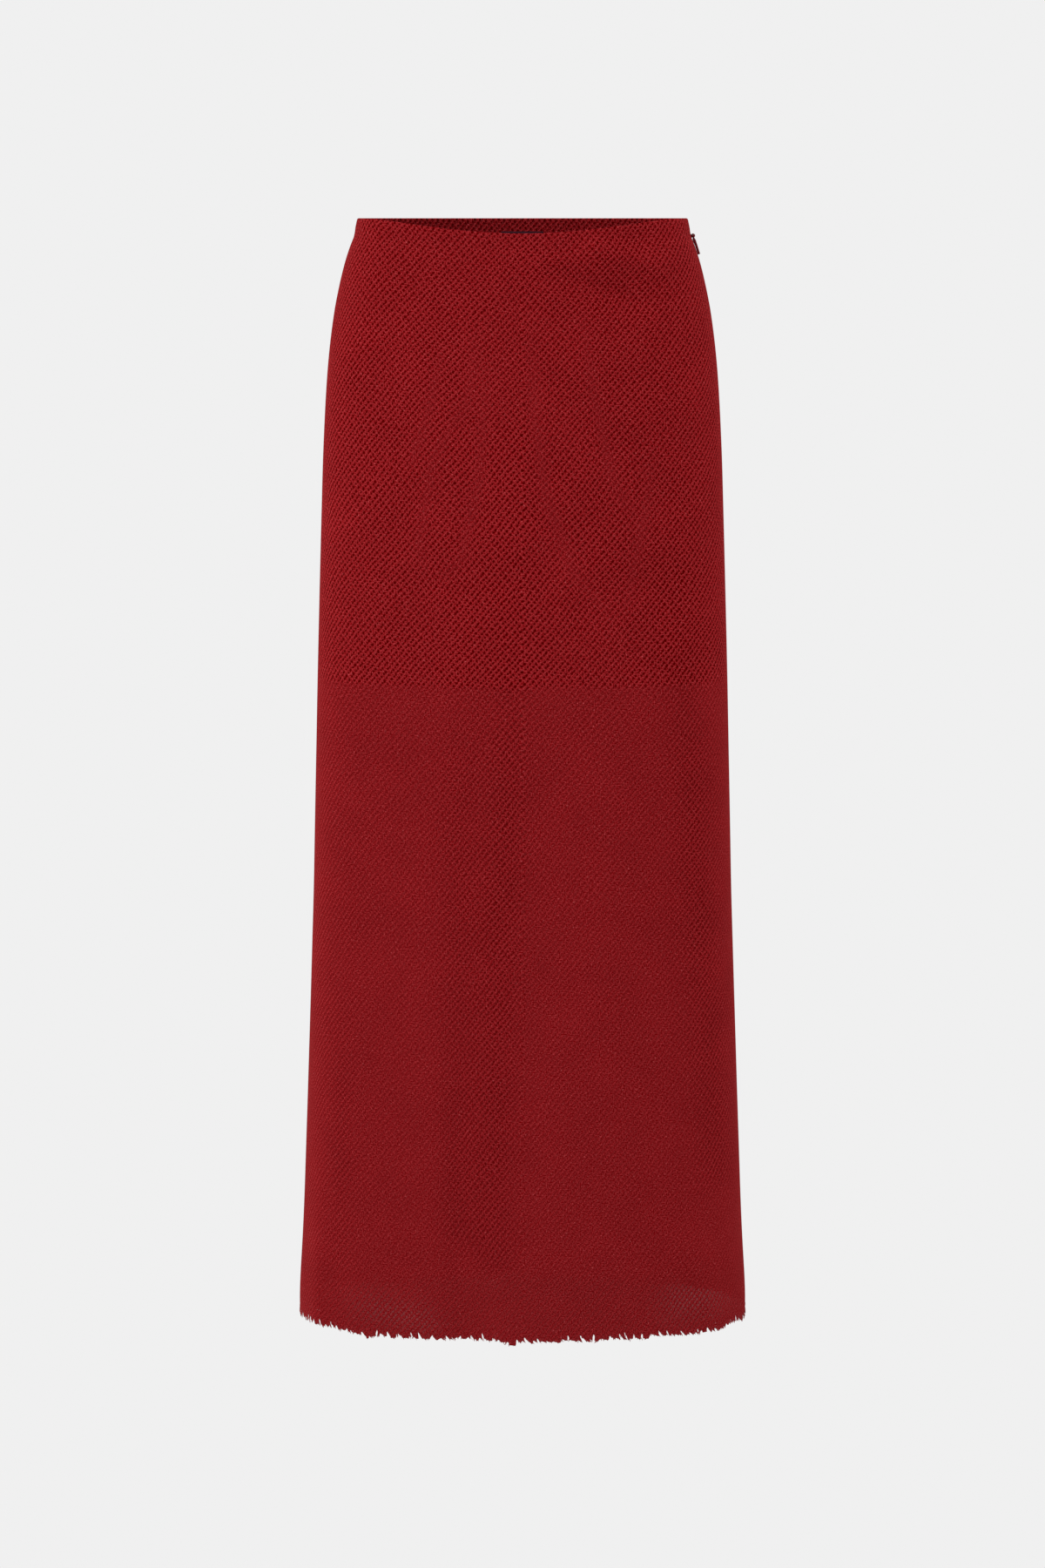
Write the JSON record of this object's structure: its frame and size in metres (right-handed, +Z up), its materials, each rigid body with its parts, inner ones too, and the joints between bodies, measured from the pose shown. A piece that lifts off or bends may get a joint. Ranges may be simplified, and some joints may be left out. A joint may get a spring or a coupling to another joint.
{
  "type": "bias-cut skirt",
  "caption": "Long close-fitting bias-cut skirt in openwork crepe with a faced waist, a short lining, a side zip and a raw frayed hem, filled out with no wearer.",
  "frame": {"origin": "middle of the waist, level with its rim at the sides and the back", "axes": "+Z up, -Y out of the front, +X towards the wearer's left side with the zip"},
  "size_m": [0.3858, 0.2437, 0.941],
  "materials": {
    "crepe": "dark red openwork crepe, matt with a slight sheen, cut on the bias",
    "yarn_ends": "loose ends of the crepe's own yarns",
    "lining": "smooth dark red lining with a soft sheen",
    "label": "bare dark woven label",
    "zip_tape": "dark red woven tape",
    "zip_coil": "dark red moulded coil",
    "zip_enamel": "dark red enamel on metal"
  },
  "bodies": {
    "skirt": {"front_panel": "crepe", "back_panel": "crepe", "waist_facing_front": "crepe", "waist_facing_back": "crepe", "hem_fray_front": "yarn_ends", "hem_fray_back": "yarn_ends", "lining_front": "lining", "lining_back": "lining", "label": "label", "zip_tape_front": "zip_tape", "zip_tape_back": "zip_tape", "zip_coil": "zip_coil", "zip_slider": "zip_enamel"},
    "pull": {"zip_pull": "zip_enamel"}
  },
  "joints": [
    {"name": "pull_hinge", "type": "hinge", "parent": "skirt", "child": "pull", "pos_m": [0.1433, 0, -0.01452], "axis": [0, -1, 0], "range_deg": [0, 160]}
  ]
}
